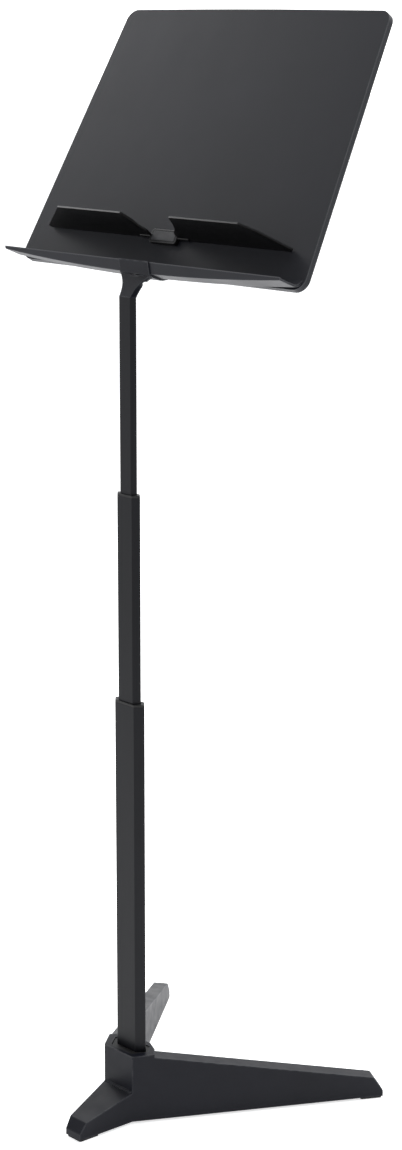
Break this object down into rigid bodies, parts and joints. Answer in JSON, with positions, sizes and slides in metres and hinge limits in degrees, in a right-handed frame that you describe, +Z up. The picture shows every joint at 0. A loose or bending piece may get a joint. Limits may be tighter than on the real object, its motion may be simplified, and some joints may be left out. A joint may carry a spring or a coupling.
{
  "type": "music stand",
  "caption": "Free-standing orchestra music stand: a low cast foot, a telescoping column of nested tubes, and a tilting moulded desk with a lipped tray and fold-out page retainers.",
  "frame": {"origin": "on the floor, under the middle of the whole stand's box at rest", "axes": "+Z up, the reader stands at -Y and faces +Y, +X to the reader's right"},
  "size_m": [0.5028, 0.395, 1.4814],
  "materials": {
    "cast_black": "satin black powder coat on a casting",
    "tube_black": "satin black coated aluminium extrusion",
    "desk_moulding": "black moulded plastic with a fine grain",
    "retainer_moulding": "smooth black moulded plastic",
    "black_moulding": "matt black moulded plastic",
    "glide_moulding": "grey low-friction moulded plastic",
    "badge": "blank dark satin plate",
    "rubber": "black moulded rubber",
    "zinc_steel": "bright zinc plated steel",
    "black_steel": "blackened steel fasteners",
    "spring_steel": "spring steel strip"
  },
  "bodies": {
    "base": {"base_casting": "cast_black", "foot_pad_front": "rubber", "foot_pad_rear_right": "rubber", "foot_pad_rear_left": "rubber", "column_collar": "black_moulding", "column_foot_plug": "black_moulding", "column_bolt": "zinc_steel", "column_bolt_washer": "zinc_steel", "outer_tube": "tube_black", "outer_glide_bush": "glide_moulding"},
    "middle_column": {"middle_tube": "tube_black", "middle_glide_bush": "glide_moulding", "middle_friction_shoe": "glide_moulding", "middle_friction_spring": "spring_steel"},
    "inner_column": {"inner_tube": "tube_black", "inner_friction_shoe": "glide_moulding", "inner_friction_spring": "spring_steel", "neck_casting": "cast_black", "neck_screws": "black_steel", "tilt_pin": "black_steel", "tilt_nut": "black_steel", "tilt_washers": "zinc_steel"},
    "desk": {"desk_panel": "desk_moulding", "desk_bracket": "cast_black", "desk_screws": "black_steel", "retainer_block": "retainer_moulding", "badge_plate": "badge", "block_screws": "black_steel", "retainer_pin_right": "zinc_steel", "retainer_pin_left": "zinc_steel"},
    "retainer_right": {"retainer_right": "retainer_moulding"},
    "retainer_left": {"retainer_left": "retainer_moulding"}
  },
  "joints": [
    {"name": "middle_tube_slide", "type": "slide", "parent": "base", "child": "middle_column", "axis": [0, 0, 1], "range_m": [-0.265, 0.06]},
    {"name": "inner_tube_slide", "type": "slide", "parent": "middle_column", "child": "inner_column", "axis": [0, 0, 1], "range_m": [-0.235, 0.05]},
    {"name": "desk_tilt", "type": "hinge", "parent": "inner_column", "child": "desk", "pos_m": [0, -0.0741, 1.14602], "axis": [1, 0, 0], "range_deg": [-58, 0]},
    {"name": "retainer_right_hinge", "type": "hinge", "parent": "desk", "child": "retainer_right", "pos_m": [0.03, -0.01983, 1.20114], "axis": [1, 0, 0], "range_deg": [-74, 0]},
    {"name": "retainer_left_hinge", "type": "hinge", "parent": "desk", "child": "retainer_left", "pos_m": [-0.03, -0.01983, 1.20114], "axis": [1, 0, 0], "range_deg": [-74, 0]}
  ]
}
